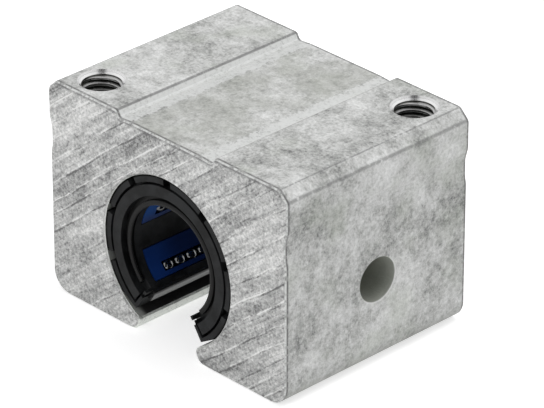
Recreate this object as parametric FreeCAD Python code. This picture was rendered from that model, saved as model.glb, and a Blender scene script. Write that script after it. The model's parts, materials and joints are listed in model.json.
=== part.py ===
"""Open linear bearing block for a 20 mm shaft.

An extruded aluminium block holds an open ball bushing. The bushing is a slotted plastic sleeve
with five windows. Each window holds a ball carrier, a hardened load plate and one closed circuit
of balls, and this segment rocks on the crowned back of its plate so that it aligns with the shaft.

X runs across the block, Y along the shaft and Z up. The origin is the middle of the underside.
Angles about the shaft are measured from straight down, the middle of the slot, towards -X.
"""
import FreeCAD, Part
import math
import os

V = FreeCAD.Vector

# Housing, mm
block_width = 60.0
block_height = 42.0
block_length = 44.0
shaft_height = 17.0
slot_width = 14.4
lip_round_share = 0.82
foot_radius = 4.0
foot_inset = 0.3
waist_inset = 0.6
shoulder_drop = 7.4
shoulder_ramp = 2.3
waist_height = 3.4
waist_ramp = 1.3
crown_width = 2.1
crown_drop = 2.0
recess_width = 24.8
recess_depth = 1.1
recess_wall_run = 0.75
relief_width = 3.0
relief_depth = 0.25
edge_break = 0.3

# Mounting holes in the two top pads, M8
mount_pitch_x = 45.0
mount_pitch_y = 32.0
thread_diameter = 8.0
thread_pitch = 1.25
thread_depth = 16.0
drill_runout = 3.0
drill_point_angle = 118.0
countersink_width = 0.3

# Side hole and the set screw that locates the bushing
side_hole_diameter = 8.5
screw_diameter = 6.0
screw_length = 4.9
screw_head_sink = 0.5
screw_tip_clearance = 0.3
dog_diameter = 3.9
dog_reach = 1.9
dog_clearance = 0.2
hex_across_flats = 3.0
hex_depth = 3.0
thread_clearance = 0.02

# Bushing sleeve and end rings
shaft_diameter = 20.0
bushing_wall = 6.0
bushing_fit = 0.05
end_recess = 0.4
slot_half_angle = 33.0
shaft_clearance = 0.3
sleeve_collar = 1.5
end_ring_thickness = 1.6
ring_face_drop = 4.0
rim_width = 1.35
end_ring_clearance = 0.5
slot_wall_angle = 2.8
slot_relief_angle = 15.0
slot_relief_drop = 0.75
rim_gap_step = 36.0
rim_gap_width = 1.9

# Wiper seals at the two ends, and the sealing strips along the slot
seal_setback = 0.5
seal_lip_clearance = 0.05
seal_end_angle = 13.0
strip_thickness = 0.75
strip_depth = 2.5
tongue_thickness = 0.8
tongue_depth = 0.5
strip_clearance = 0.05

# Ball segments
segment_count = 5
segment_step = 61.7
carrier_half_angle = 17.9
ledge_angle = 1.4
ledge_height = 0.6
carrier_back_drop = 0.7
segment_clearance = 0.2
ball_diameter = 2.778
ball_clearance = 0.08
ball_gap = 0.012
row_wall = 0.37
return_lift = 1.5
circuit_end_wall = 0.55
turn_floor = 0.25
turn_sides = 5
plate_wall_angle = 4.7
plate_lift = 1.06
plate_overhang = 1.0
plate_crown = 0.35
plate_seat_clearance = 0.05
plate_pocket_clearance = 0.05

# Worked out from the sizes above
half_width = block_width / 2
half_length = block_length / 2
shaft_radius = shaft_diameter / 2
bore_radius = shaft_radius + bushing_wall
side_hole_depth = half_width - bore_radius - screw_tip_clearance - screw_length - screw_head_sink
sleeve_radius = bore_radius - bushing_fit
rim_inner_radius = sleeve_radius - rim_width
sleeve_inner_radius = shaft_radius + shaft_clearance
bushing_half_length = half_length - end_recess
sleeve_half_length = bushing_half_length - end_ring_thickness
ring_inner_radius = bore_radius - ring_face_drop
carrier_half_length = sleeve_half_length - sleeve_collar - segment_clearance
carrier_inner_radius = sleeve_inner_radius
carrier_outer_radius = bore_radius - carrier_back_drop
ledge_radius = carrier_inner_radius + ledge_height
ball_radius = ball_diameter / 2
channel_radius = ball_radius + ball_clearance
row_spacing = ball_diameter + row_wall
turn_radius = row_spacing / 2
load_row_radius = shaft_radius + ball_radius
return_row_radius = load_row_radius + return_lift
circuit_half_length = carrier_half_length - circuit_end_wall - channel_radius - turn_radius
turn_end = circuit_half_length + turn_radius
row_end = turn_end - math.sqrt((ball_diameter + ball_gap) ** 2 - turn_radius ** 2)
plate_half_length = circuit_half_length + plate_overhang
plate_half_angle = carrier_half_angle - plate_wall_angle
plate_inner_radius = load_row_radius + plate_lift
plate_radius = bore_radius - plate_seat_clearance
slot_sweep = 360.0 - 2 * slot_half_angle
first_segment_angle = 180.0 - segment_step * (segment_count - 1) / 2
screw_axis_angle = 270.0
shaft_point = V(0, 0, shaft_height)
shaft_direction = V(0, 1, 0)


def radial(radius, angle, y=0.0):
    """Point at a radius and angle about the shaft."""
    turn = math.radians(angle)
    return V(-radius * math.sin(turn), y, shaft_height - radius * math.cos(turn))


def edges_along(start, steps):
    """Edges through the steps: a step is a point, or a pair of an arc's middle and end."""
    edges = []
    here = start
    for step in steps:
        if isinstance(step, tuple):
            middle, end = step
            edges.append(Part.Arc(here, middle, end).toShape())
        else:
            end = step
            edges.append(Part.makeLine(here, end))
        here = end
    return edges


def closed_face(start, steps):
    """Face inside a closed outline."""
    return Part.Face(Part.Wire(edges_along(start, steps + [start])))


def turned(outline, start_angle, sweep):
    """Solid swept about the shaft from an outline of (radius, y) points."""
    points = [radial(radius, start_angle, y) for radius, y in outline]
    face = closed_face(points[0], points[1:])
    return face.revolve(shaft_point, shaft_direction, sweep)


def tube_part(inner, outer, low_y, high_y, start_angle, sweep):
    """Part of a tube about the shaft."""
    outline = [(inner, low_y), (outer, low_y), (outer, high_y), (inner, high_y)]
    return turned(outline, start_angle, sweep)


def about_shaft(shape, angle):
    """Copy of a shape turned about the shaft."""
    copy = shape.copy()
    copy.rotate(shaft_point, shaft_direction, angle)
    return copy


def end_to_end(shape):
    """The shape for the front end and its mirror image for the rear end."""
    return shape, shape.mirror(V(0, 0, 0), shaft_direction)


def quarter_round(centre, radius, middle_angle, end_angle):
    """Arc step of a quarter turn in the XZ plane, angles from +X towards +Z."""
    ends = []
    for angle in (middle_angle, end_angle):
        turn = math.radians(angle)
        ends.append(centre + V(radius * math.cos(turn), 0, radius * math.sin(turn)))
    return tuple(ends)


def housing_half_section():
    """Right half of the extrusion: recess, pad, shoulder, waist, foot, slot lip and bore."""
    slot_half = slot_width / 2
    foot_x = half_width - foot_inset
    waist_x = half_width - waist_inset
    shoulder_z = block_height - shoulder_drop
    waist_top = shoulder_z - shoulder_ramp
    waist_bottom = waist_top - waist_height
    wall_top = recess_width / 2
    wall_foot = wall_top - recess_wall_run
    floor_z = block_height - recess_depth
    lip_top = shaft_height - math.sqrt(bore_radius ** 2 - slot_half ** 2)
    lip_radius = lip_top * lip_round_share
    bore_middle = V(bore_radius, 0, shaft_height)
    bore_top = V(0, 0, shaft_height + bore_radius)
    foot_centre = V(foot_x - foot_radius, 0, foot_radius)
    lip_centre = V(slot_half + lip_radius, 0, lip_radius)
    steps = [
        V(wall_foot - relief_width, 0, floor_z),
        V(wall_foot, 0, floor_z - relief_depth),
        V(wall_top, 0, block_height),
        V(half_width - crown_width, 0, block_height),
        V(half_width, 0, block_height - crown_drop),
        V(half_width, 0, shoulder_z),
        V(waist_x, 0, waist_top),
        V(waist_x, 0, waist_bottom),
        V(foot_x, 0, waist_bottom - waist_ramp),
        V(foot_x, 0, foot_radius),
        quarter_round(foot_centre, foot_radius, -45, -90),
        V(slot_half + lip_radius, 0, 0),
        quarter_round(lip_centre, lip_radius, 225, 180),
        V(slot_half, 0, lip_top),
        (bore_middle, bore_top),
    ]
    return closed_face(V(0, 0, floor_z), steps)


def tapped_hole():
    """Blind M8 hole from a top pad: countersink, thread at its full diameter, drilled end."""
    thread_radius = thread_diameter / 2
    drill_radius = thread_radius - thread_pitch / 2
    drill_depth = thread_depth + drill_runout
    sink_radius = thread_radius + countersink_width
    point_length = drill_radius / math.tan(math.radians(drill_point_angle / 2))
    down = V(0, 0, -1)
    drill = Part.makeCylinder(drill_radius, drill_depth, V(0, 0, block_height), down)
    point_top = V(0, 0, block_height - drill_depth)
    point = Part.makeCone(drill_radius, 0, point_length, point_top, down)
    thread = Part.makeCylinder(thread_radius, thread_depth, V(0, 0, block_height), down)
    sink = Part.makeCone(sink_radius, thread_radius, countersink_width, V(0, 0, block_height), down)
    return drill.fuse([point, thread, sink])


def side_hole():
    """Hole in the right side down to the bore: plain mouth, then the thread for the set screw."""
    mouth = V(half_width, 0, shaft_height)
    inward = V(-1, 0, 0)
    thread_radius = screw_diameter / 2 + thread_clearance
    plain = Part.makeCylinder(side_hole_diameter / 2, side_hole_depth, mouth, inward)
    return plain.fuse(Part.makeCylinder(thread_radius, half_width, mouth, inward))


def end_edges(shape):
    """Edges that lie in the two sawn end faces."""
    def on_end(edge):
        return all(abs(abs(v.Y) - half_length) < Part.Precision.confusion() * 10 for v in edge.Vertexes)
    return [edge for edge in shape.Edges if on_end(edge)]


def housing():
    """Extruded block with its bore, slot and holes."""
    right = housing_half_section().extrude(V(0, block_length, 0))
    right.translate(V(0, -half_length, 0))
    left = right.mirror(V(0, 0, 0), V(1, 0, 0))
    block = right.fuse(left).removeSplitter()
    block = block.makeChamfer(edge_break, end_edges(block))
    for side in (-1, 1):
        hole = tapped_hole()
        hole.translate(V(side * mount_pitch_x / 2, side * mount_pitch_y / 2, 0))
        block = block.cut(hole)
    return block.cut(side_hole())


def locating_screw():
    """Set screw with a hexagon socket and a dog point that enters the bushing sleeve."""
    tip_x = bore_radius + screw_tip_clearance
    head_x = tip_x + screw_length
    inward = V(-1, 0, 0)
    head = V(head_x, 0, shaft_height)
    body = Part.makeCylinder(screw_diameter / 2, screw_length, head, inward)
    dog_length = tip_x - sleeve_radius + dog_reach
    dog = Part.makeCylinder(dog_diameter / 2, dog_length, V(tip_x, 0, shaft_height), inward)
    corner = hex_across_flats / 2 / math.cos(math.radians(30))
    corners = []
    for side in range(6):
        turn = math.radians(60 * side)
        corners.append(head + V(0, corner * math.cos(turn), corner * math.sin(turn)))
    socket = closed_face(corners[0], corners[1:]).extrude(inward * hex_depth)
    return body.fuse(dog).removeSplitter().cut(socket)


def stepped_block(inner, outer, gap):
    """Block with a ledge along each long side, grown by a gap in length and breadth."""
    spread = math.degrees(gap / ledge_radius)
    length = carrier_half_length + gap
    body = carrier_half_angle + spread
    ledge = body - ledge_angle
    low = tube_part(inner, outer, -length, length, -ledge, 2 * ledge)
    high = tube_part(ledge_radius - gap, outer, -length, length, -body, 2 * body)
    return low.fuse(high).removeSplitter()


def segment_angles():
    """Angle of each segment about the shaft, from the one left of the slot."""
    return [first_segment_angle + segment_step * place for place in range(segment_count)]


def slot_frame(along_wall, out_of_wall, y):
    """Point beside the slot wall on the left: distance from the shaft, and out into the slot."""
    wall = radial(along_wall, slot_half_angle, y)
    turn = math.radians(slot_half_angle)
    return wall + V(out_of_wall * math.cos(turn), 0, -out_of_wall * math.sin(turn))


def strip_groove():
    """Groove in the slot wall on the left for the tongue of a sealing strip."""
    middle = sleeve_inner_radius + strip_depth / 2
    half = tongue_thickness / 2 + strip_clearance
    depth = tongue_depth + strip_clearance
    corners = [
        slot_frame(middle - half, 0, -half_length),
        slot_frame(middle + half, 0, -half_length),
        slot_frame(middle + half, -depth, -half_length),
        slot_frame(middle - half, -depth, -half_length),
    ]
    return closed_face(corners[0], corners[1:]).extrude(V(0, block_length, 0))


def slot_strip():
    """Sealing strip on the left wall of the slot: a rounded nose, a flat side and a tongue."""
    low_y = -sleeve_half_length
    head_high = sleeve_inner_radius + strip_depth
    middle = sleeve_inner_radius + strip_depth / 2
    tongue_low = middle - tongue_thickness / 2
    tongue_high = middle + tongue_thickness / 2
    nose_end = sleeve_inner_radius + strip_thickness
    nose_share = math.sqrt(0.5) * strip_thickness
    start = slot_frame(sleeve_inner_radius, strip_clearance, low_y)
    nose_middle = slot_frame(nose_end - nose_share, strip_clearance + nose_share, low_y)
    steps = [
        (nose_middle, slot_frame(nose_end, strip_clearance + strip_thickness, low_y)),
        slot_frame(head_high, strip_clearance + strip_thickness, low_y),
        slot_frame(head_high, strip_clearance, low_y),
        slot_frame(tongue_high, strip_clearance, low_y),
        slot_frame(tongue_high, -tongue_depth, low_y),
        slot_frame(tongue_low, -tongue_depth, low_y),
        slot_frame(tongue_low, strip_clearance, low_y),
    ]
    return closed_face(start, steps).extrude(V(0, 2 * sleeve_half_length, 0))


def rim_gap_angles():
    """Angles of the gaps in the sleeve's rim, spaced both ways from the top."""
    per_side = int((slot_sweep - rim_gap_step) / 2 // rim_gap_step)
    return [180.0 + rim_gap_step * place for place in range(-per_side, per_side + 1)]


def end_cuts():
    """What the sleeve loses at its front end: the seat of the end ring, and gaps in the rim."""
    cuts = [tube_part(shaft_radius, rim_inner_radius, -half_length, -sleeve_half_length,
                      slot_half_angle + slot_wall_angle, slot_sweep - 2 * slot_wall_angle)]
    half_gap = math.degrees(rim_gap_width / 2 / sleeve_radius)
    for angle in rim_gap_angles():
        cuts.append(tube_part(rim_inner_radius - end_ring_clearance, bore_radius, -half_length,
                              -sleeve_half_length, angle - half_gap, 2 * half_gap))
    return cuts


def slot_relief():
    """What the sleeve's back loses beside the slot on the left, so that its edge clears the bore."""
    start = radial(sleeve_radius, slot_half_angle + slot_relief_angle, -half_length)
    edge = radial(sleeve_radius - slot_relief_drop, slot_half_angle, -half_length)
    outside = [edge * 2 - start, radial(block_width, 0, -half_length)]
    return closed_face(start, [edge] + outside).extrude(V(0, block_length, 0))


def bushing_sleeve():
    """Slotted sleeve with a rim at each end, segment windows and a pocket for the set screw."""
    sleeve = tube_part(sleeve_inner_radius, sleeve_radius, -bushing_half_length,
                       bushing_half_length, slot_half_angle, slot_sweep)
    window = stepped_block(shaft_radius, bore_radius + segment_clearance, segment_clearance)
    cuts = [about_shaft(window, angle) for angle in segment_angles()]
    for side_cut in (strip_groove(), slot_relief()):
        cuts += [side_cut, side_cut.mirror(V(0, 0, 0), V(1, 0, 0))]
    for cut in end_cuts():
        cuts += end_to_end(cut)
    pocket_depth = dog_reach + dog_clearance
    pocket_mouth = radial(sleeve_radius, screw_axis_angle)
    pocket_radius = dog_diameter / 2 + dog_clearance
    cuts.append(Part.makeCylinder(pocket_radius, pocket_depth, pocket_mouth, V(-1, 0, 0)))
    return sleeve.cut(cuts)


def end_ring():
    """Front end ring: a flat ring seated inside the sleeve's rim, between the slot's walls."""
    outer = rim_inner_radius - end_ring_clearance
    inset = slot_wall_angle + math.degrees(end_ring_clearance / outer)
    return tube_part(ring_inner_radius, outer, -bushing_half_length, -sleeve_half_length,
                     slot_half_angle + inset, slot_sweep - 2 * inset)


def wiper_seal():
    """Front wiper seal: a flat collar held in the end ring, reaching in to the shaft."""
    front = -bushing_half_length + seal_setback
    lip_at_shaft = shaft_radius + seal_lip_clearance
    return tube_part(lip_at_shaft, ring_inner_radius, front, -sleeve_half_length,
                     slot_half_angle + seal_end_angle, slot_sweep - 2 * seal_end_angle)


def row_points():
    """Where the loaded row and the return row cross the middle plane, for a segment at 0."""
    reach = load_row_radius ** 2 + return_row_radius ** 2 - row_spacing ** 2
    turn = math.degrees(math.acos(reach / (2 * load_row_radius * return_row_radius)))
    return radial(load_row_radius, -turn / 2), radial(return_row_radius, turn / 2)


def turn_pocket(side):
    """Many-sided turn at one end of the circuit, above a floor that keeps the balls in."""
    load_row, return_row = row_points()
    middle = (load_row + return_row) * 0.5 + V(0, side * circuit_half_length, 0)
    across = (return_row - load_row).normalize()
    drop = across.cross(shaft_direction).normalize() * channel_radius
    half_side = math.radians(90.0 / turn_sides)
    corner_radius = (turn_radius + channel_radius) / math.cos(half_side)
    corners = []
    for place in range(turn_sides + 1):
        turn = 2 * half_side * place
        out = across * -math.cos(turn) + V(0, side * math.sin(turn), 0)
        corners.append(middle + out * corner_radius - drop)
    prism = closed_face(corners[0], corners[1:]).extrude(drop * 2)
    floor_start = shaft_point - V(0, half_length, 0)
    floor_radius = carrier_inner_radius + turn_floor
    floor = Part.makeCylinder(floor_radius, block_length, floor_start, shaft_direction)
    return prism.cut(floor)


def ball_channel():
    """Closed racetrack for the balls: two round bores and a pocket at each turn."""
    load_row, return_row = row_points()
    load_half = row_end + channel_radius
    load_start = load_row - V(0, load_half, 0)
    return_start = return_row - V(0, circuit_half_length, 0)
    load_bore = Part.makeCylinder(channel_radius, 2 * load_half, load_start, shaft_direction)
    return_bore = Part.makeCylinder(channel_radius, 2 * circuit_half_length, return_start,
                                    shaft_direction)
    return [load_bore, return_bore, turn_pocket(-1), turn_pocket(1)]


def ball_carrier(channel):
    """Carrier with the ball circuit, the slot to the shaft and the pocket for the load plate."""
    pocket_radius = plate_inner_radius - plate_pocket_clearance
    pocket_half = plate_half_angle + math.degrees(plate_pocket_clearance / pocket_radius)
    pocket_length = plate_half_length + plate_pocket_clearance
    pocket = tube_part(pocket_radius, bore_radius, -pocket_length, pocket_length,
                       -pocket_half, 2 * pocket_half)
    return stepped_block(carrier_inner_radius, carrier_outer_radius, 0).cut([pocket] + channel)


def load_plate(channel):
    """Hardened plate over both rows, with tracks for the balls and a crowned back."""
    inner = plate_inner_radius
    edge = plate_radius - plate_crown
    start = radial(inner, -plate_half_angle, -plate_half_length)
    steps = [
        radial(edge, -plate_half_angle, -plate_half_length),
        (radial(plate_radius, -plate_half_angle), radial(edge, -plate_half_angle, plate_half_length)),
        radial(inner, -plate_half_angle, plate_half_length),
    ]
    blank = closed_face(start, steps).revolve(shaft_point, shaft_direction, 2 * plate_half_angle)
    return blank.cut(channel)


def ball():
    """Ball as a solid with twenty faces, its corners on the true sphere."""
    tilt = math.atan(2)
    upper = []
    lower = []
    for place in range(5):
        turn = math.radians(72 * place)
        flat = V(math.cos(turn), math.sin(turn), 0) * math.sin(tilt)
        corner = (flat + V(0, 0, math.cos(tilt))) * ball_radius
        upper.append(corner)
        lower.append(-corner)
    top = V(0, 0, ball_radius)
    faces = []
    for place in range(5):
        after = (place + 1) % 5
        below = lower[(place + 3) % 5]
        faces.append(closed_face(top, [upper[place], upper[after]]))
        faces.append(closed_face(-top, [lower[place], lower[after]]))
        faces.append(closed_face(upper[place], [below, upper[after]]))
        faces.append(closed_face(upper[after], [below, lower[(place + 4) % 5]]))
    return Part.makeSolid(Part.makeShell(faces))


def ball_circuit():
    """Balls of one circuit: two straight rows and one ball in the middle of each turn."""
    load_row, return_row = row_points()
    middle = (load_row + return_row) * 0.5
    row_count = int(2 * row_end / (ball_diameter + ball_gap)) + 1
    pitch = 2 * row_end / (row_count - 1)
    centres = [middle + V(0, turn_end, 0), middle - V(0, turn_end, 0)]
    for row in (load_row, return_row):
        centres += [row + V(0, pitch * place - row_end, 0) for place in range(row_count)]
    balls = []
    one = ball()
    for centre in centres:
        copy = one.copy()
        copy.translate(centre)
        balls.append(copy)
    return Part.makeCompound(balls)


def export(name, shape):
    """Write one piece as its own STEP file."""
    shape.exportStep(os.path.join("parts", name + ".step"))


def build():
    """Make every piece and write it."""
    os.makedirs("parts", exist_ok=True)
    export("housing", housing())
    export("locating_screw", locating_screw())
    export("bushing_sleeve", bushing_sleeve())
    for end, ring in zip(("front", "rear"), end_to_end(end_ring())):
        export("end_ring_" + end, ring)
    for end, seal in zip(("front", "rear"), end_to_end(wiper_seal())):
        export("wiper_seal_" + end, seal)
    left_strip = slot_strip()
    export("slot_strip_left", left_strip)
    export("slot_strip_right", left_strip.mirror(V(0, 0, 0), V(1, 0, 0)))
    channel = ball_channel()
    carrier = ball_carrier(channel)
    plate = load_plate(channel)
    balls = ball_circuit()
    for number, angle in enumerate(segment_angles(), start=1):
        export("ball_carrier_" + str(number), about_shaft(carrier, angle))
        export("load_plate_" + str(number), about_shaft(plate, angle))
        export("ball_circuit_" + str(number), about_shaft(balls, angle))


build()
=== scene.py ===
"""Linear bearing block: finishes, thread turns, wiper lips, balls, studio light and camera."""

import json
import math

import bmesh
import bpy
from mathutils import Matrix, Vector

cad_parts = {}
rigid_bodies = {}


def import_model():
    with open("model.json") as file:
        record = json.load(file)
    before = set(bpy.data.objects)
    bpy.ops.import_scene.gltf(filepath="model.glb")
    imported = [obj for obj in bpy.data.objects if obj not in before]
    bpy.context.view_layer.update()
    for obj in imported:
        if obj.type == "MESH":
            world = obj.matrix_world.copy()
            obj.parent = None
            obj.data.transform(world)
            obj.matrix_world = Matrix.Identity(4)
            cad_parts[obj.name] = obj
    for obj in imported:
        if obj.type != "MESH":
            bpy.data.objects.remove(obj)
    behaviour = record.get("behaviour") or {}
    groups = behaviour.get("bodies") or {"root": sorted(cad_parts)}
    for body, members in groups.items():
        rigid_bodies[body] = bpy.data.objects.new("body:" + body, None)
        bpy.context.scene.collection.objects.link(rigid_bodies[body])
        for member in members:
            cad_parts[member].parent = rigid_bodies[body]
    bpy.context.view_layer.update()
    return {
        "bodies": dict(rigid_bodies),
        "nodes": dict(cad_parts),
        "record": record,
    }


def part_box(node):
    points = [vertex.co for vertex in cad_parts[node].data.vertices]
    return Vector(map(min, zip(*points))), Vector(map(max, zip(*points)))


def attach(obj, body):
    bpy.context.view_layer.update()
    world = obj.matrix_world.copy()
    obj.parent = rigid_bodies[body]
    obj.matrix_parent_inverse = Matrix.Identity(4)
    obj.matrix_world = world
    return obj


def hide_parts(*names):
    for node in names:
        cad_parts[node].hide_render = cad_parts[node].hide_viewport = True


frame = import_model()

MM = 0.001

# The block, in millimetres
EDGE_BREAK = 0.3
SAWN_DEPTH = 0.06
TOP_ZONE = 2.0
RECESS_HALF = 12.4
RECESS_DEPTH = 1.1
WALL_FOOT = RECESS_HALF - 0.75
RELIEF_EDGE = WALL_FOOT - 3.0
CROWN_WIDTH = 2.1
CROWN_DROP = 2.0
LIP_TOP = 2.8
LIP_HALF = 10.0
BORE_RADIUS = 16.0
SIDE_HOLE_RADIUS = 4.25
SAW_ANGLE = math.radians(38)

# The threads: lengths in millimetres, and shares of one pitch
THREAD_PITCH = 1.25
THREAD_DEPTH_SHARE = 0.54
HALF_ROOT_SHARE = 0.44
HALF_CREST_SHARE = 0.07
RUN_IN_SHARE = 0.3
THREAD_START = math.radians(225)
SINK_RADIUS = 4.4
SINK_DEPTH = 0.68
OVERLAP = 0.2
WALL_OVERLAP = 0.02
TURN_STEPS = 40
MOUTH_STEPS = 64

# Section of a wiper seal: shares of its width out from the shaft, and of its depth in from the end
WIPER_SECTION = [
    (1.00, 0.74), (1.00, 1.00), (0.44, 1.00), (0.38, 0.60), (0.14, 0.52), (0.00, 0.30),
    (0.00, 0.06), (0.06, 0.00), (0.32, 0.02), (0.40, 0.06), (0.47, 0.08), (0.52, 0.68),
]
WIPER_STEPS = 96
SMOOTH_BELOW = math.radians(42)

# The bushing, in millimetres: the end ring's outer corner, along which a shadow line is painted,
# and the heights above the shaft's axis between which painted light brightens the carriers and
# painted shade darkens the balls
RING_CORNER = 15.55
UPPER_ROWS = (1.5, 5.0)

# Tones of the aluminium, as places on a ramp and their colours
SKIN_TONES = [
    (0.20, (0.16, 0.163, 0.16)),
    (0.38, (0.40, 0.405, 0.395)),
    (0.50, (0.56, 0.565, 0.555)),
    (0.80, (0.86, 0.865, 0.86)),
]
CUT_TONES = [
    (0.15, (0.15, 0.15, 0.15)),
    (0.36, (0.40, 0.402, 0.40)),
    (0.52, (0.58, 0.582, 0.575)),
    (0.85, (0.95, 0.95, 0.94)),
]
# Painted highlight along the broken edges, darker where nicked
EDGE_HIGHLIGHT_TONES = [
    (0.38, (0.28, 0.28, 0.28)),
    (0.54, (0.80, 0.81, 0.80)),
]

# Studio, in metres and watts
AIM = Vector((0.0020, 0.0016, 0.0203))
AZIMUTH = math.radians(45.97)
ELEVATION = math.radians(28.55)
DISTANCE = 0.7921
LENS = 298.4
CLIP_END = 20.0
FLOOR_HALF = 6.0
FLOOR_DROP = 0.05 * MM
FLOOR_GREY = 0.74
FLOOR_GLOW = 0.62
SURROUNDING_LIGHT = 0.40
LAMPS = {
    "left_box": {"place": (0.06, -0.58, 0.46), "size": 0.45, "power": 1.4},
    "over": {"place": (0.14, 0.26, 0.72), "size": 0.6, "power": 2.8},
}

nodes = frame["nodes"]
mounts = {mount["name"]: mount for mount in frame["record"]["mounts"]}
housing_low, housing_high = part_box("housing")
shaft_centre = Vector(mounts["shaft_way"]["pos_m"])
half_length = housing_high.y / MM
half_width = housing_high.x / MM
block_height = housing_high.z / MM
shaft_height = shaft_centre.z / MM


# ---------------------------------------------------------------- finishes


class Socket:
    """An output in a finish. Arithmetic on it adds the nodes that work it out."""

    def __init__(self, finish, output):
        self.finish = finish
        self.output = output

    def __add__(self, other):
        return self.finish.maths("ADD", self, other)

    def __sub__(self, other):
        return self.finish.maths("SUBTRACT", self, other)

    def __rsub__(self, other):
        return self.finish.maths("SUBTRACT", other, self)

    def __mul__(self, other):
        return self.finish.maths("MULTIPLY", self, other)

    def __truediv__(self, other):
        return self.finish.maths("DIVIDE", self, other)

    def __rtruediv__(self, other):
        return self.finish.maths("DIVIDE", other, self)

    def __pow__(self, other):
        return self.finish.maths("POWER", self, other)

    def __abs__(self):
        return self.finish.maths("ABSOLUTE", self)

    __radd__ = __add__
    __rmul__ = __mul__


class Graph:
    """A tree of shader nodes, with the means to work out what varies."""

    def __init__(self, tree):
        self.tree = tree

    def node(self, kind, settings, inputs, output=0):
        """Add one node: its settings first, then what goes into its sockets."""
        made = self.tree.nodes.new(kind)
        for name, value in settings.items():
            if name == "stops":
                self.set_stops(made.color_ramp, value)
            else:
                setattr(made, name, value)
        for name, value in inputs.items():
            self.feed(made.inputs[name], value)
        return Socket(self, made.outputs[output])

    def set_stops(self, ramp, stops):
        """Give a ramp its stops, a place and a colour each."""
        while len(ramp.elements) < len(stops):
            ramp.elements.new(1.0)
        for element, (place, colour) in zip(ramp.elements, stops):
            element.position = place
            element.color = (*colour, 1.0)

    def feed(self, socket, value):
        """Link a socket, or set it."""
        if isinstance(value, Socket):
            self.tree.links.new(value.output, socket)
        else:
            socket.default_value = value

    def maths(self, operation, *terms):
        """One step of arithmetic."""
        return self.node("ShaderNodeMath", {"operation": operation}, dict(enumerate(terms)))

    def vector_maths(self, operation, *terms, output=0, **named):
        """One step of arithmetic on vectors."""
        inputs = dict(enumerate(terms)) | named
        return self.node("ShaderNodeVectorMath", {"operation": operation}, inputs, output)

    def split(self, vector):
        """The three parts of a vector."""
        parts = self.node("ShaderNodeSeparateXYZ", {}, {"Vector": vector}).output.node
        return [Socket(self, output) for output in parts.outputs]

    def joined(self, x, y, z):
        """A vector from three parts."""
        return self.node("ShaderNodeCombineXYZ", {}, {"X": x, "Y": y, "Z": z})

    def step(self, value, start, end):
        """Smooth rise from 0 at start to 1 at end. It falls where end is below start."""
        settings = {"interpolation_type": "SMOOTHSTEP"}
        low, high = min(start, end), max(start, end)
        inputs = {"Value": value, "From Min": low, "From Max": high}
        risen = self.node("ShaderNodeMapRange", settings, inputs)
        return risen if start < end else 1.0 - risen

    def line(self, value, middle, reach, core):
        """1 within core of a middle value, falling smoothly to 0 at reach from it."""
        return self.step(abs(value - middle), reach, core)

    def varied(self, level, *parts):
        """A level that varies with noises or tones about 0.5, each with its weight."""
        for weight, part in parts:
            level = level + weight * (part - 0.5)
        return level

    def noise(self, vector, scale, detail, roughness):
        """Noise from 0 to 1 about 0.5, with scale in waves per millimetre."""
        inputs = {"Vector": vector, "Scale": scale, "Detail": detail, "Roughness": roughness}
        return self.node("ShaderNodeTexNoise", {}, inputs)

    def strips(self, value, per_mm):
        """Strips of uneven width: a tone for each strip, and the distance to its edge."""
        kind = "ShaderNodeTexVoronoi"
        inputs = {"W": value, "Scale": per_mm}
        settings = {"voronoi_dimensions": "1D", "feature": "F1"}
        tone = self.node(kind, settings, inputs, "Color")
        settings = {"voronoi_dimensions": "1D", "feature": "DISTANCE_TO_EDGE"}
        return tone, self.node(kind, settings, inputs, "Distance") / per_mm

    def blend(self, factor, first, second):
        """Colour between two colours."""
        inputs = {0: factor, 6: first, 7: second}
        return self.node("ShaderNodeMix", {"data_type": "RGBA"}, inputs, 2)

    def shades(self, value, stops):
        """Colour from a ramp of stops."""
        return self.node("ShaderNodeValToRGB", {"stops": stops}, {"Fac": value})

    def bump(self, height, distance):
        """Normal of a surface raised by height times distance, in millimetres."""
        inputs = {"Height": height, "Distance": distance * MM}
        return self.node("ShaderNodeBump", {}, inputs)

    def ray(self, kind):
        """1 for rays of one kind."""
        return self.node("ShaderNodeLightPath", {}, {}, kind)

    def shown(self):
        """1 for rays that show the surroundings as they are, straight on or in a gloss."""
        rays = ("Is Camera Ray", "Is Glossy Ray", "Is Transmission Ray")
        return self.step(sum(self.ray(kind) for kind in rays), 0.0, 1.0)


class Finish(Graph):
    """A material, with the place on the piece in millimetres."""

    def __init__(self, name, **constants):
        self.material = bpy.data.materials.new(name)
        self.material.use_nodes = True
        super().__init__(self.material.node_tree)
        self.shader = self.tree.nodes["Principled BSDF"]
        self.wear(**constants)
        object_place = self.node("ShaderNodeTexCoord", {}, {}, "Object")
        self.place = self.vector_maths("SCALE", object_place, Scale=1 / MM)
        self.x, self.y, self.z = self.split(self.place)

    def wear(self, **fed):
        """Link or set the shader's own sockets."""
        for socket, value in fed.items():
            self.feed(self.shader.inputs[socket.replace("_", " ")], value)


def grey(level, warm=0.0):
    """A grey, slightly warm or cool."""
    return (level * (1 + warm), level, level * (1 - warm), 1.0)


def length(first, second):
    """Length of a line from its two parts at right angles."""
    return (first ** 2.0 + second ** 2.0) ** 0.5


def nearest_hole(f):
    """Distance from the axis of the nearer tapped hole."""
    places = [mounts[name]["pos_m"] for name in ("mount_hole_left", "mount_hole_right")]
    return f.maths("MINIMUM", *(length(f.x - x / MM, f.y - y / MM) for x, y, _ in places))


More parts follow.
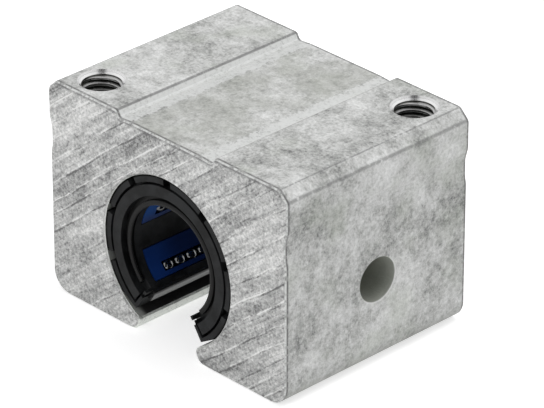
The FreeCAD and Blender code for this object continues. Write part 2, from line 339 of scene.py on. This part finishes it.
class Aluminium(Finish):
    """The block's finish: zones as masks from 0 to 1, and the colours laid on them in turn."""

    def __init__(self):
        super().__init__("raw_aluminium", Specular_IOR_Level=0.4)
        self.cloud = self.noise(self.place, scale=0.07, detail=3.0, roughness=0.6)
        self.blotch = self.noise(self.place, scale=0.34, detail=4.0, roughness=0.9)
        self.speck = self.noise(self.place, scale=1.5, detail=2.0, roughness=0.8)
        across_end = self.joined(self.x, 0.0, self.z)
        self.nick = self.noise(across_end, scale=0.9, detail=3.0, roughness=0.8)

        self.aside = abs(self.x)
        self.from_end = half_length - abs(self.y)
        self.from_shaft = length(self.x, self.z - shaft_height)
        self.sawn = self.step(self.from_end, SAWN_DEPTH, 0.0)
        self.drawn = self.step(self.from_end, EDGE_BREAK - SAWN_DEPTH, EDGE_BREAK)
        top_foot = block_height - TOP_ZONE
        self.upper = self.step(self.z, top_foot, top_foot + 0.4) * self.drawn
        self.add_recess()
        # Masks for the painted light and shade of the bore and the painted light of the slot's
        # lips
        self.bored = self.step(self.from_shaft, BORE_RADIUS + 0.06, BORE_RADIUS + 0.03)
        self.deep = self.step(self.from_end, EDGE_BREAK - 0.1, EDGE_BREAK + 2.1)
        below_lip = self.step(self.z, LIP_TOP, LIP_TOP - 0.1)
        beside_slot = self.step(self.aside, LIP_HALF + 0.6, LIP_HALF - 0.6)
        self.lip = below_lip * beside_slot * (1.0 - self.sawn)
        self.tapped = self.step(nearest_hole(self), SINK_RADIUS, SINK_RADIUS - 0.08) * self.upper

    def add_recess(self):
        """Zones of the recess in the top: relief bands with ragged inner edges, and walls."""
        inside = self.step(self.aside, RECESS_HALF, RECESS_HALF - 0.1) * self.upper
        ragged = self.varied(self.aside, (2.6, self.blotch), (2.0, self.cloud), (1.6, self.speck))
        self.band = self.step(ragged, RELIEF_EDGE - 0.3, RELIEF_EDGE + 0.2) * inside
        self.wall = self.step(self.aside, WALL_FOOT, WALL_FOOT + 0.1) * inside

    def skin(self):
        """Blotchy skin of the extrusion, greenish in places."""
        tone = self.varied(0.5, (0.8, self.cloud), (1.0, self.blotch), (0.55, self.speck))
        tint = self.noise(self.place, scale=0.11, detail=2.0, roughness=0.5)
        greenish = self.step(tint, 0.5, 0.75) * 0.3
        return self.blend(greenish, self.shades(tone, SKIN_TONES), (0.50, 0.54, 0.46, 1.0))

    def recess(self, colour):
        """Smoother middle of the recess, its scuffed bands, and its scuffed walls, painted paler
        as painted light that evens out their shade.
        """
        smooth = self.step(self.aside, 9.5, 7.5) * self.upper * self.step(self.cloud, 0.62, 0.42)
        colour = self.blend(smooth * 0.42, colour, (0.46, 0.47, 0.43, 1.0))
        scuffed = 0.82 - 0.4 * self.step(self.speck, 0.55, 0.35)
        colour = self.blend(self.band * scuffed, colour, (0.71, 0.72, 0.71, 1.0))
        # Painted light: the recess walls are paler, so that they read as bright as the bands
        return self.blend(self.wall * scuffed, colour, (0.80, 0.81, 0.80, 1.0))

    def feet(self, colour):
        """Darker, greenish tone towards the bottom of the outer sides."""
        low = self.step(self.z, 4.6, 0.6)
        outer = self.step(self.aside, half_width - 5.5, half_width - 4.5)
        return self.blend(low * outer * 0.5, colour, (0.25, 0.265, 0.235, 1.0))

    def corners(self, colour):
        """Painted shadow lines along the corners of the extrusion, broken in places."""
        patches = self.noise(self.place, scale=0.8, detail=3.0, roughness=0.7)
        kept = self.step(patches, 0.32, 0.5)
        # Painted shade along the recess's upper edge, the crown and the shoulder
        recess = self.line(self.aside, RECESS_HALF + 0.09, 0.32, 0.12) * self.upper
        crown = self.line(self.aside, half_width - CROWN_WIDTH, 0.22, 0.06) * self.upper
        shoulder = self.line(self.z, block_height - CROWN_DROP + 0.1, 0.55, 0.1)
        shoulder = shoulder * self.step(self.aside, half_width - 0.5, half_width - 0.2)
        dark = recess * (0.45 + 0.35 * kept) + crown * 0.7 * kept + shoulder * 0.6 * kept
        return self.blend(dark * self.drawn, colour, grey(0.20))

    def saw_marks(self):
        """Colour and height of the strips that the blade left, with ridges and grooves."""
        along = self.x * math.cos(SAW_ANGLE) + self.z * math.sin(SAW_ANGLE)
        across = self.z * math.cos(SAW_ANGLE) - self.x * math.sin(SAW_ANGLE)
        bent = self.joined(along * 0.05, self.y, across * 0.12)
        path = across + 1.6 * self.noise(bent, scale=1.0, detail=2.0, roughness=0.5)
        wide_tone, wide_edge = self.strips(path, per_mm=0.36)
        fine_tone, fine_edge = self.strips(path, per_mm=1.3)
        groove_edge = self.strips(path + 0.26, per_mm=0.36)[1]
        dragged = self.joined(along * 0.16, self.y, across)
        torn = self.noise(dragged, scale=0.7, detail=4.0, roughness=0.8)
        broken = self.joined(along * 0.3, self.y, across)
        kept = self.step(self.noise(broken, scale=0.13, detail=2.0, roughness=0.6), 0.30, 0.52)
        ridge = self.step(wide_edge, 0.24, 0.02) * self.step(torn, 0.42, 0.58) * kept
        groove = self.step(groove_edge, 0.26, 0.04) * self.step(torn, 0.58, 0.42) * kept
        hair = self.step(fine_edge, 0.17, 0.02) * self.step(torn, 0.44, 0.6) * kept
        lines = 0.36 * ridge - 0.30 * groove - 0.14 * hair
        strips = self.varied(0.0, (0.28, wide_tone), (0.16, fine_tone))
        tone = 0.51 + strips + lines
        tone = self.varied(tone, (1.05, torn), (0.8, self.blotch), (1.1, self.speck))
        height = 0.5 * strips + 0.8 * lines + 0.6 * torn + 0.4 * self.speck
        return self.shades(tone, CUT_TONES), height

    def ends(self, colour, cut_colour):
        """Sawn ends, and their broken edges: a nicked painted highlight between painted shadow
        lines.
        """
        # Painted shade: a dark line on the faces beside the sawn ends, broken by nicks
        beside = self.step(self.from_end, EDGE_BREAK + 0.5, EDGE_BREAK + 0.2) * self.drawn
        beside = beside * (0.45 + 0.5 * self.step(self.nick, 0.35, 0.55))
        colour = self.blend(beside, colour, grey(0.15))
        in_recess = self.step(self.aside, RECESS_HALF, WALL_FOOT)
        below_top = (block_height - RECESS_DEPTH * in_recess) - self.z
        # Painted shade: a dark line on the sawn face just below the top
        painted_rim = self.step(below_top, EDGE_BREAK + 0.6, EDGE_BREAK + 0.15)
        painted_rim = painted_rim * (0.3 + 0.5 * self.step(self.nick, 0.65, 0.45))
        colour = self.blend(self.sawn, colour, self.blend(painted_rim, cut_colour, grey(0.18)))
        # Painted highlight: the broken edge is bright, darker where nicked
        edge = (1.0 - self.sawn) * (1.0 - self.drawn)
        outside = self.step(self.from_shaft, BORE_RADIUS + 0.5, BORE_RADIUS + 0.7)
        return self.blend(edge * outside * 0.8, colour, self.shades(self.nick, EDGE_HIGHLIGHT_TONES))

    def bore_and_lips(self, colour):
        """Painted light makes the bore pale at its mouth and painted shade makes it dark beyond,
        and the slot's lips get painted light.
        """
        # Painted light: the bore is pale at its mouth
        colour = self.blend(self.bored, colour, (0.86, 0.88, 0.84, 1.0))
        # Painted shade: the bore is dark beyond its mouth
        colour = self.blend(self.bored * self.deep, colour, grey(0.025))
        # Painted light: the slot's lips are near white, blotched
        painted_light = 0.95 - 0.5 * self.step(self.blotch, 0.52, 0.36)
        return self.blend(self.lip * painted_light, colour, (0.90, 0.93, 0.88, 1.0))

    def holes(self, colour):
        """Side hole with turning marks, darker lower down, a painted highlight on the lower rear
        of its rim, and bare metal in the tapped mouths.
        """
        from_axis = length(self.y, self.z - shaft_height)
        below_side = self.step(self.x, half_width - 0.02, half_width - 0.12)
        outside_bore = self.step(self.x, BORE_RADIUS - 1.0, BORE_RADIUS)
        drilled = self.step(from_axis, SIDE_HOLE_RADIUS + 0.1, SIDE_HOLE_RADIUS - 0.01)
        drilled = drilled * below_side * outside_bore
        rings = self.joined(self.x, from_axis * 0.2, 0.0)
        turned = self.noise(rings, scale=5.0, detail=2.0, roughness=0.5)
        # Darker towards the bottom of the hole
        lower_down = self.step(self.z, shaft_height + 3.0, shaft_height - 3.5)
        drilled_tone = self.blend(lower_down, (0.58, 0.60, 0.54, 1.0), (0.37, 0.385, 0.34, 1.0))
        colour = self.blend(drilled * (0.78 + 0.2 * turned), colour, drilled_tone)
        # Painted highlight: a bright line on the lower rear of the side hole's rim
        painted_rim = self.line(from_axis, SIDE_HOLE_RADIUS + 0.15, 0.24, 0.06)
        painted_rim = painted_rim * self.step(self.x, half_width - 0.7, half_width - 0.3)
        low_rear = self.step(self.y - self.z, -shaft_height - 1.0, -shaft_height + 2.0)
        colour = self.blend(painted_rim * low_rear * 0.6, colour, grey(0.80))
        return self.blend(self.tapped * 0.9, colour, grey(0.74))


def aluminium():
    """Extruded aluminium: blotchy skin, sawn ends, smoother relief bands and drilled holes."""
    f = Aluminium()
    cut_colour, ridged = f.saw_marks()
    colour = f.corners(f.feet(f.recess(f.skin())))
    colour = f.holes(f.bore_and_lips(f.ends(colour, cut_colour)))
    dented = (0.7 * f.blotch + 0.3 * f.speck) * (1.0 - 0.8 * f.band)
    height = dented * (1.0 - f.sawn) + ridged * f.sawn
    f.wear(
        Base_Color=colour,
        Roughness=f.varied(0.46, (0.3, f.blotch)) - 0.05 * f.band - 0.2 * f.tapped,
        Metallic=0.22 + 0.78 * f.tapped + f.bored * (0.6 - 0.8 * f.deep) + 0.4 * f.lip,
        Normal=f.bump(height * (1.0 - f.tapped), 0.16),
    )
    return f.material


def cut_thread():
    """Cut thread turns: bright crests, with painted shade in the roots and deeper down the hole.
    """
    f = Finish("cut_thread", Metallic=1.0)
    grain = f.noise(f.place, scale=3.0, detail=3.0, roughness=0.6)
    below_top = block_height - f.z
    # Painted shade: the roots of the thread below the mouth are dark
    root = f.step(nearest_hole(f), 3.45, 3.8) * f.step(below_top, 0.6, 0.75)
    # Painted shade: the turns darken deeper down the hole
    deep = f.step(below_top, 1.8, 3.4)
    mouth = f.step(below_top, SINK_DEPTH + 0.05, SINK_DEPTH)
    shade = f.blend(grain, grey(0.42), grey(0.62))
    shade = f.blend(mouth, shade, grey(0.85))
    painted_thread_shade = root * 0.9 + deep * 0.55 * (1.0 - root)
    f.wear(
        Base_Color=f.blend(painted_thread_shade, shade, (0.05, 0.05, 0.04, 1.0)),
        Roughness=0.22 + 0.14 * grain,
        Normal=f.bump(grain, 0.02),
    )
    return f.material


def black_plastic():
    """Moulded black plastic with a fine satin grain, and a painted shadow line along its outer
    corner.
    """
    f = Finish("black_plastic", IOR=1.45, Specular_IOR_Level=0.14)
    grain = f.noise(f.place, scale=5.0, detail=3.0, roughness=0.6)
    flow = f.noise(f.place, scale=0.35, detail=3.0, roughness=0.5)
    # Painted shade: a dark line along the end ring's outer corner, where a chamfer would lie in
    # shadow
    corner = f.step(length(f.x, f.z - shaft_height), RING_CORNER, RING_CORNER + 0.17)
    shade = f.blend(f.step(flow, 0.35, 0.65), grey(0.005, -0.05), grey(0.019, -0.05))
    f.wear(
        Base_Color=f.blend(corner, shade, grey(0.001)),
        Roughness=f.varied(0.42, (0.14, grain)) + 0.12 * flow + 0.4 * corner,
        Normal=f.bump(0.7 * grain + 0.3 * flow, 0.02),
    )
    return f.material


def seal_rubber():
    """Satin rubber of the wiper seals."""
    f = Finish("seal_rubber", IOR=1.45, Specular_IOR_Level=0.12)
    grain = f.noise(f.place, scale=4.0, detail=3.0, roughness=0.6)
    f.wear(
        Base_Color=f.blend(grain, grey(0.007), grey(0.016)),
        Roughness=f.varied(0.40, (0.2, grain)),
        Normal=f.bump(grain, 0.012),
    )
    return f.material


def strip_rubber():
    """Smooth glossy rubber of the sealing strips, faintly drawn along its length."""
    f = Finish("strip_rubber", IOR=1.52)
    stretched = f.joined(f.x, f.y * 0.04, f.z)
    drawn = f.noise(stretched, scale=2.2, detail=2.0, roughness=0.5)
    f.wear(
        Base_Color=f.blend(drawn, grey(0.010), grey(0.018)),
        Roughness=0.15 + 0.14 * drawn,
        Normal=f.bump(drawn, 0.02),
    )
    return f.material


def upper_rows(f):
    """Mask for the painted light on the upper carriers and the painted shade on the upper balls: 0
    at the carriers beside the slot, rising to 1 at the ones above the shaft.
    """
    start, end = UPPER_ROWS
    return f.step(f.z, shaft_height + start, shaft_height + end)


def blue_plastic():
    """Blue moulded plastic of the ball carriers, with painted shade deeper in from their ends and
    painted light on the carriers at the top.
    """
    f = Finish("blue_plastic", IOR=1.5, Specular_IOR_Level=0.14)
    grain = f.noise(f.place, scale=5.0, detail=3.0, roughness=0.6)
    stretched = f.joined(f.x, f.y * 0.3, f.z)
    flow = f.noise(stretched, scale=0.5, detail=3.0, roughness=0.5)
    # Painted light: the carriers above the shaft are made a brighter blue
    painted_light = upper_rows(f)
    carrier_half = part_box("ball_carrier_1")[1].y / MM
    # Painted shade: the carriers darken away from their ends, deeper into the bushing, less so at
    # the top
    painted_depth_shade = f.step(carrier_half - abs(f.y), 1.5, 8.0) * (1.0 - 0.7 * painted_light)
    shade = f.blend(flow, (0.005, 0.026, 0.135, 1.0), (0.009, 0.042, 0.20, 1.0))
    shade = f.blend(painted_light * 0.85, shade, (0.024, 0.115, 0.42, 1.0))
    f.wear(
        Base_Color=f.blend(painted_depth_shade * 0.6, shade, (0.002, 0.007, 0.035, 1.0)),
        Roughness=0.30 + 0.14 * flow,
        Normal=f.bump(0.6 * grain + 0.4 * flow, 0.015),
    )
    return f.material


def ground_steel():
    """Hardened plate steel, ground along its length."""
    f = Finish("ground_steel", Metallic=1.0)
    stretched = f.joined(f.x, f.y * 0.05, f.z)
    lay = f.noise(stretched, scale=6.0, detail=3.0, roughness=0.6)
    f.wear(
        Base_Color=f.blend(lay, grey(0.42), grey(0.62)),
        Roughness=0.22 + 0.16 * lay,
        Normal=f.bump(lay, 0.01),
    )
    return f.material


def ball_steel():
    """Polished bearing balls with a film of grease, and painted shade on the upper rows that dulls
    their glints.
    """
    f = Finish("ball_steel", Metallic=1.0)
    film = f.noise(f.place, scale=1.6, detail=3.0, roughness=0.6)
    shade = f.blend(film, grey(0.17, -0.02), grey(0.26, -0.02))
    f.wear(
        # Painted shade: the balls of the upper rows are darkened so they show no bright glint
        Base_Color=f.blend(upper_rows(f) * 0.65, shade, grey(0.04, 0.05)),
        Roughness=0.06 + 0.1 * film,
        Normal=f.bump(film, 0.006),
    )
    return f.material


def screw_steel():
    """Black-oxide set screw, worn in places."""
    f = Finish("screw_steel", Metallic=0.85)
    grain = f.noise(f.place, scale=3.5, detail=4.0, roughness=0.65)
    f.wear(
        Base_Color=f.blend(f.step(grain, 0.55, 0.75), grey(0.05), grey(0.16)),
        Roughness=f.varied(0.36, (0.2, grain)),
        Normal=f.bump(grain, 0.02),
    )
    return f.material


# ---------------------------------------------------------------- new pieces


def piece(name, mesh, body, slot, material, *replaced):
    """Turn finished mesh work into a smooth-shaded piece that rides on a body."""
    data = bpy.data.meshes.new(name)
    mesh.to_mesh(data)
    mesh.free()
    data.materials.append(material)
    data.shade_smooth()
    data.set_sharp_from_angle(angle=SMOOTH_BELOW)
    made = bpy.data.objects.new(name, data)
    bpy.context.scene.collection.objects.link(made)
    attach(made, body)
    if replaced:
        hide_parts(*replaced)


def profile(mesh, points):
    """Closed outline through points; gives all that a spin takes round."""
    corners = [mesh.verts.new(point) for point in points]
    edges = [mesh.edges.new(pair) for pair in zip(corners, corners[1:] + corners[:1])]
    return edges + corners


def close(mesh):
    """Close the open ends of a spun outline, and point its faces outwards."""
    open_edges = [edge for edge in mesh.edges if edge.is_boundary]
    bmesh.ops.holes_fill(mesh, edges=open_edges, sides=0)
    bmesh.ops.recalc_face_normals(mesh, faces=mesh.faces)


def ball_groups(node):
    """Middle and radius of each ball of a circuit, from the solids that stand for them."""
    mesh = bmesh.new()
    mesh.from_mesh(nodes[node].data)
    bmesh.ops.remove_doubles(mesh, verts=mesh.verts, dist=0.001 * MM)
    mesh.verts.index_update()
    reached = set()
    groups = []
    for first in mesh.verts:
        if first.index in reached:
            continue
        reached.add(first.index)
        ball = [first]
        for here in ball:
            for edge in here.link_edges:
                there = edge.other_vert(here)
                if there.index not in reached:
                    reached.add(there.index)
                    ball.append(there)
        middle = sum((corner.co for corner in ball), Vector()) / len(ball)
        groups.append((middle, max((corner.co - middle).length for corner in ball)))
    mesh.free()
    return groups


def ball_row(body, material):
    """True balls of the circuit in one segment."""
    number = body.removeprefix("segment_")
    node = f"ball_circuit_{number}"
    mesh = bmesh.new()
    for middle, radius in ball_groups(node):
        place = Matrix.Translation(middle)
        bmesh.ops.create_icosphere(mesh, subdivisions=3, radius=radius, matrix=place)
    piece(f"balls_{number}", mesh, body, "ball_steel", material, node)


def thread_mouth(middle, wall, foot):
    """Ring that countersinks a tapped hole down to its foot."""
    reach = SINK_DEPTH - EDGE_BREAK
    section = [(wall, foot + reach), (wall - reach, foot), (wall, foot - OVERLAP)]
    mesh = bmesh.new()
    bmesh.ops.spin(
        mesh,
        geom=profile(mesh, [middle + Vector((r, 0, z)) * MM for r, z in section]),
        cent=middle,
        axis=(0, 0, 1),
        angle=math.tau,
        steps=MOUTH_STEPS,
        use_merge=True,
    )
    bmesh.ops.recalc_face_normals(mesh, faces=mesh.faces)
    return mesh


def thread_helix(middle, wall, top, turns):
    """Right-hand turns of an internal thread, which grow out of the wall over a run-in."""
    crest = wall - THREAD_DEPTH_SHARE * THREAD_PITCH
    section = [
        (wall, top + HALF_ROOT_SHARE * THREAD_PITCH),
        (wall, top - HALF_ROOT_SHARE * THREAD_PITCH),
        (crest, top - HALF_CREST_SHARE * THREAD_PITCH),
        (crest, top + HALF_CREST_SHARE * THREAD_PITCH),
    ]
    turn = Matrix.Rotation(THREAD_START, 4, "Z")
    mesh = bmesh.new()
    bmesh.ops.spin(
        mesh,
        geom=profile(mesh, [middle + turn @ Vector((r, 0, z)) * MM for r, z in section]),
        cent=middle,
        axis=(0, 0, 1),
        dvec=(0, 0, -THREAD_PITCH * MM / TURN_STEPS),
        angle=-math.tau * turns,
        steps=TURN_STEPS * turns,
        use_merge=False,
    )
    for corner in mesh.verts:
        out = Vector((corner.co.x, corner.co.y, 0.0)) - middle
        begun = (top * MM - corner.co.z) / (RUN_IN_SHARE * THREAD_PITCH * MM)
        if out.length < (wall - 0.1) * MM and begun < 1.0:
            grown = wall - (wall - crest) * max(begun, 0.0)
            corner.co += out * (grown * MM / out.length - 1.0)
    close(mesh)
    return mesh


def thread_turns(side, material):
    """Countersunk mouth and thread turns on the wall of a tapped hole."""
    mount = mounts[f"mount_hole_{side}"]
    middle = Vector((*mount["pos_m"][:2], 0.0))
    wall = mount["dims"]["r_mm"] + WALL_OVERLAP
    turns = int(mount["dims"]["length_mm"] / THREAD_PITCH) - 1
    foot = block_height - SINK_DEPTH
    mesh = thread_mouth(middle, wall, foot)
    helix = thread_helix(middle, wall, foot - OVERLAP, turns)
    scratch = bpy.data.meshes.new("helix")
    helix.to_mesh(scratch)
    helix.free()
    mesh.from_mesh(scratch)
    bpy.data.meshes.remove(scratch)
    piece(f"thread_turns_{side}", mesh, "block", "bare_aluminium", material)


def wiper(end, material):
    """Wiper seal with a collar, a flexing web and a thin lip that leans out to the shaft."""
    node = f"wiper_seal_{end}"
    corners = [corner.co for corner in nodes[node].data.vertices]
    low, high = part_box(node)
    depth = high.y - low.y
    face, inwards = (low.y, 1.0) if end == "front" else (high.y, -1.0)
    inner = mounts["shaft_way"]["dims"]["r_mm"] * MM
    outer = max(math.hypot(corner.x, corner.z - shaft_centre.z) for corner in corners)
    slot_half = min(abs(math.atan2(corner.x, shaft_centre.z - corner.z)) for corner in corners)
    turn = Matrix.Rotation(-slot_half, 4, "Y")
    height = Vector((0, 0, shaft_centre.z))
    points = []
    for out, back in WIPER_SECTION:
        radius = inner + out * (outer - inner)
        points.append(turn @ Vector((0, face + inwards * back * depth, -radius)) + height)
    mesh = bmesh.new()
    bmesh.ops.spin(
        mesh,
        geom=profile(mesh, points),
        cent=shaft_centre,
        axis=(0, 1, 0),
        angle=-(math.tau - 2 * slot_half),
        steps=WIPER_STEPS,
        use_merge=False,
    )
    close(mesh)
    piece(f"wiper_lip_{end}", mesh, "block", "seal_rubber", material, node)


# ---------------------------------------------------------------- studio


def lamp(name, place, size, power):
    """Soft square lamp turned to the block, left out of glossy surfaces."""
    data = bpy.data.lights.new(name, "AREA")
    data.shape = "SQUARE"
    data.size = size
    data.energy = power
    made = bpy.data.objects.new(name, data)
    made.location = place
    made.rotation_euler = (AIM - made.location).to_track_quat("-Z", "Y").to_euler()
    made.visible_glossy = False
    bpy.context.scene.collection.objects.link(made)


def floor():
    """Plain pale floor that reads white, keeps a soft shadow and isn't seen from below."""
    mesh = bmesh.new()
    bmesh.ops.create_grid(mesh, x_segments=1, y_segments=1, size=FLOOR_HALF)
    data = bpy.data.meshes.new("floor")
    mesh.to_mesh(data)
    mesh.free()
    made = bpy.data.objects.new("floor", data)
    made.location.z = housing_low.z - FLOOR_DROP
    bpy.context.scene.collection.objects.link(made)
    f = Finish(
        "pale_floor",
        Base_Color=grey(FLOOR_GREY),
        Roughness=1.0,
        Specular_IOR_Level=0.0,
        Emission_Strength=1.0,
    )
    f.wear(Emission_Color=f.blend(f.shown(), grey(0.0), grey(FLOOR_GLOW)))
    under = f.node("ShaderNodeNewGeometry", {}, {}, "Backfacing")
    clear = f.node("ShaderNodeBsdfTransparent", {}, {})
    solid = Socket(f, f.shader.outputs[0])
    surface = f.node("ShaderNodeMixShader", {}, {0: under, 1: solid, 2: clear})
    f.feed(f.tree.nodes["Material Output"].inputs["Surface"], surface)
    data.materials.append(f.material)


def surroundings(outward):
    """Pale surroundings. In a gloss they have a dark gap at the viewer, and dim flanks."""
    world = bpy.data.worlds.new("studio")
    world.use_nodes = True
    g = Graph(world.node_tree)
    towards = g.node("ShaderNodeTexCoord", {}, {}, "Generated")
    ahead_axis = Vector((outward.x, outward.y, 0.0)).normalized()
    side_axis = (ahead_axis.y, -ahead_axis.x, 0.0)
    ahead = g.vector_maths("DOT_PRODUCT", towards, tuple(ahead_axis), output="Value")
    aside = abs(g.vector_maths("DOT_PRODUCT", towards, side_axis, output="Value"))
    facing = g.step(ahead, 0.18, 0.34) * g.ray("Is Glossy Ray")
    seen = g.blend(g.step(aside, 0.40, 0.62) * facing, grey(1.0), grey(0.58))
    seen = g.blend(g.step(aside, 0.30, 0.17) * facing, seen, grey(0.02))
    colour = g.blend(g.shown(), grey(SURROUNDING_LIGHT), seen)
    g.feed(world.node_tree.nodes["Background"].inputs["Color"], colour)
    bpy.context.scene.world = world


def camera(outward):
    """Long lens that looks at the block."""
    data = bpy.data.cameras.new("camera")
    data.lens = LENS
    data.clip_end = CLIP_END
    made = bpy.data.objects.new("camera", data)
    made.location = AIM + outward * DISTANCE
    made.rotation_euler = (-outward).to_track_quat("-Z", "Y").to_euler()
    bpy.context.scene.collection.objects.link(made)
    bpy.context.scene.camera = made


def studio():
    """Floor, surroundings, lamps and camera."""
    outward = Vector((
        math.sin(AZIMUTH) * math.cos(ELEVATION),
        -math.cos(AZIMUTH) * math.cos(ELEVATION),
        math.sin(ELEVATION),
    ))
    floor()
    surroundings(outward)
    for name, settings in LAMPS.items():
        lamp(name, **settings)
    camera(outward)
    bpy.context.scene.view_settings.view_transform = "Standard"


# ---------------------------------------------------------------- the block


def dress():
    """Give every CAD node its finish, and add the finer pieces."""
    plastic = black_plastic()
    rubber = seal_rubber()
    polished = ball_steel()
    finishes = {
        "housing": aluminium(),
        "locating_screw": screw_steel(),
        "bushing_sleeve": plastic,
        "end_ring": plastic,
        "wiper_seal": rubber,
        "slot_strip": strip_rubber(),
        "ball_carrier": blue_plastic(),
        "load_plate": ground_steel(),
        "ball_circuit": polished,
    }
    for name, node in nodes.items():
        for start, material in finishes.items():
            if name.startswith(start):
                node.data.materials.clear()
                node.data.materials.append(material)
    thread = cut_thread()
    for side in ("left", "right"):
        thread_turns(side, thread)
    for end in ("front", "rear"):
        wiper(end, rubber)
    for body in frame["bodies"]:
        if body != "block":
            ball_row(body, polished)


dress()
studio()
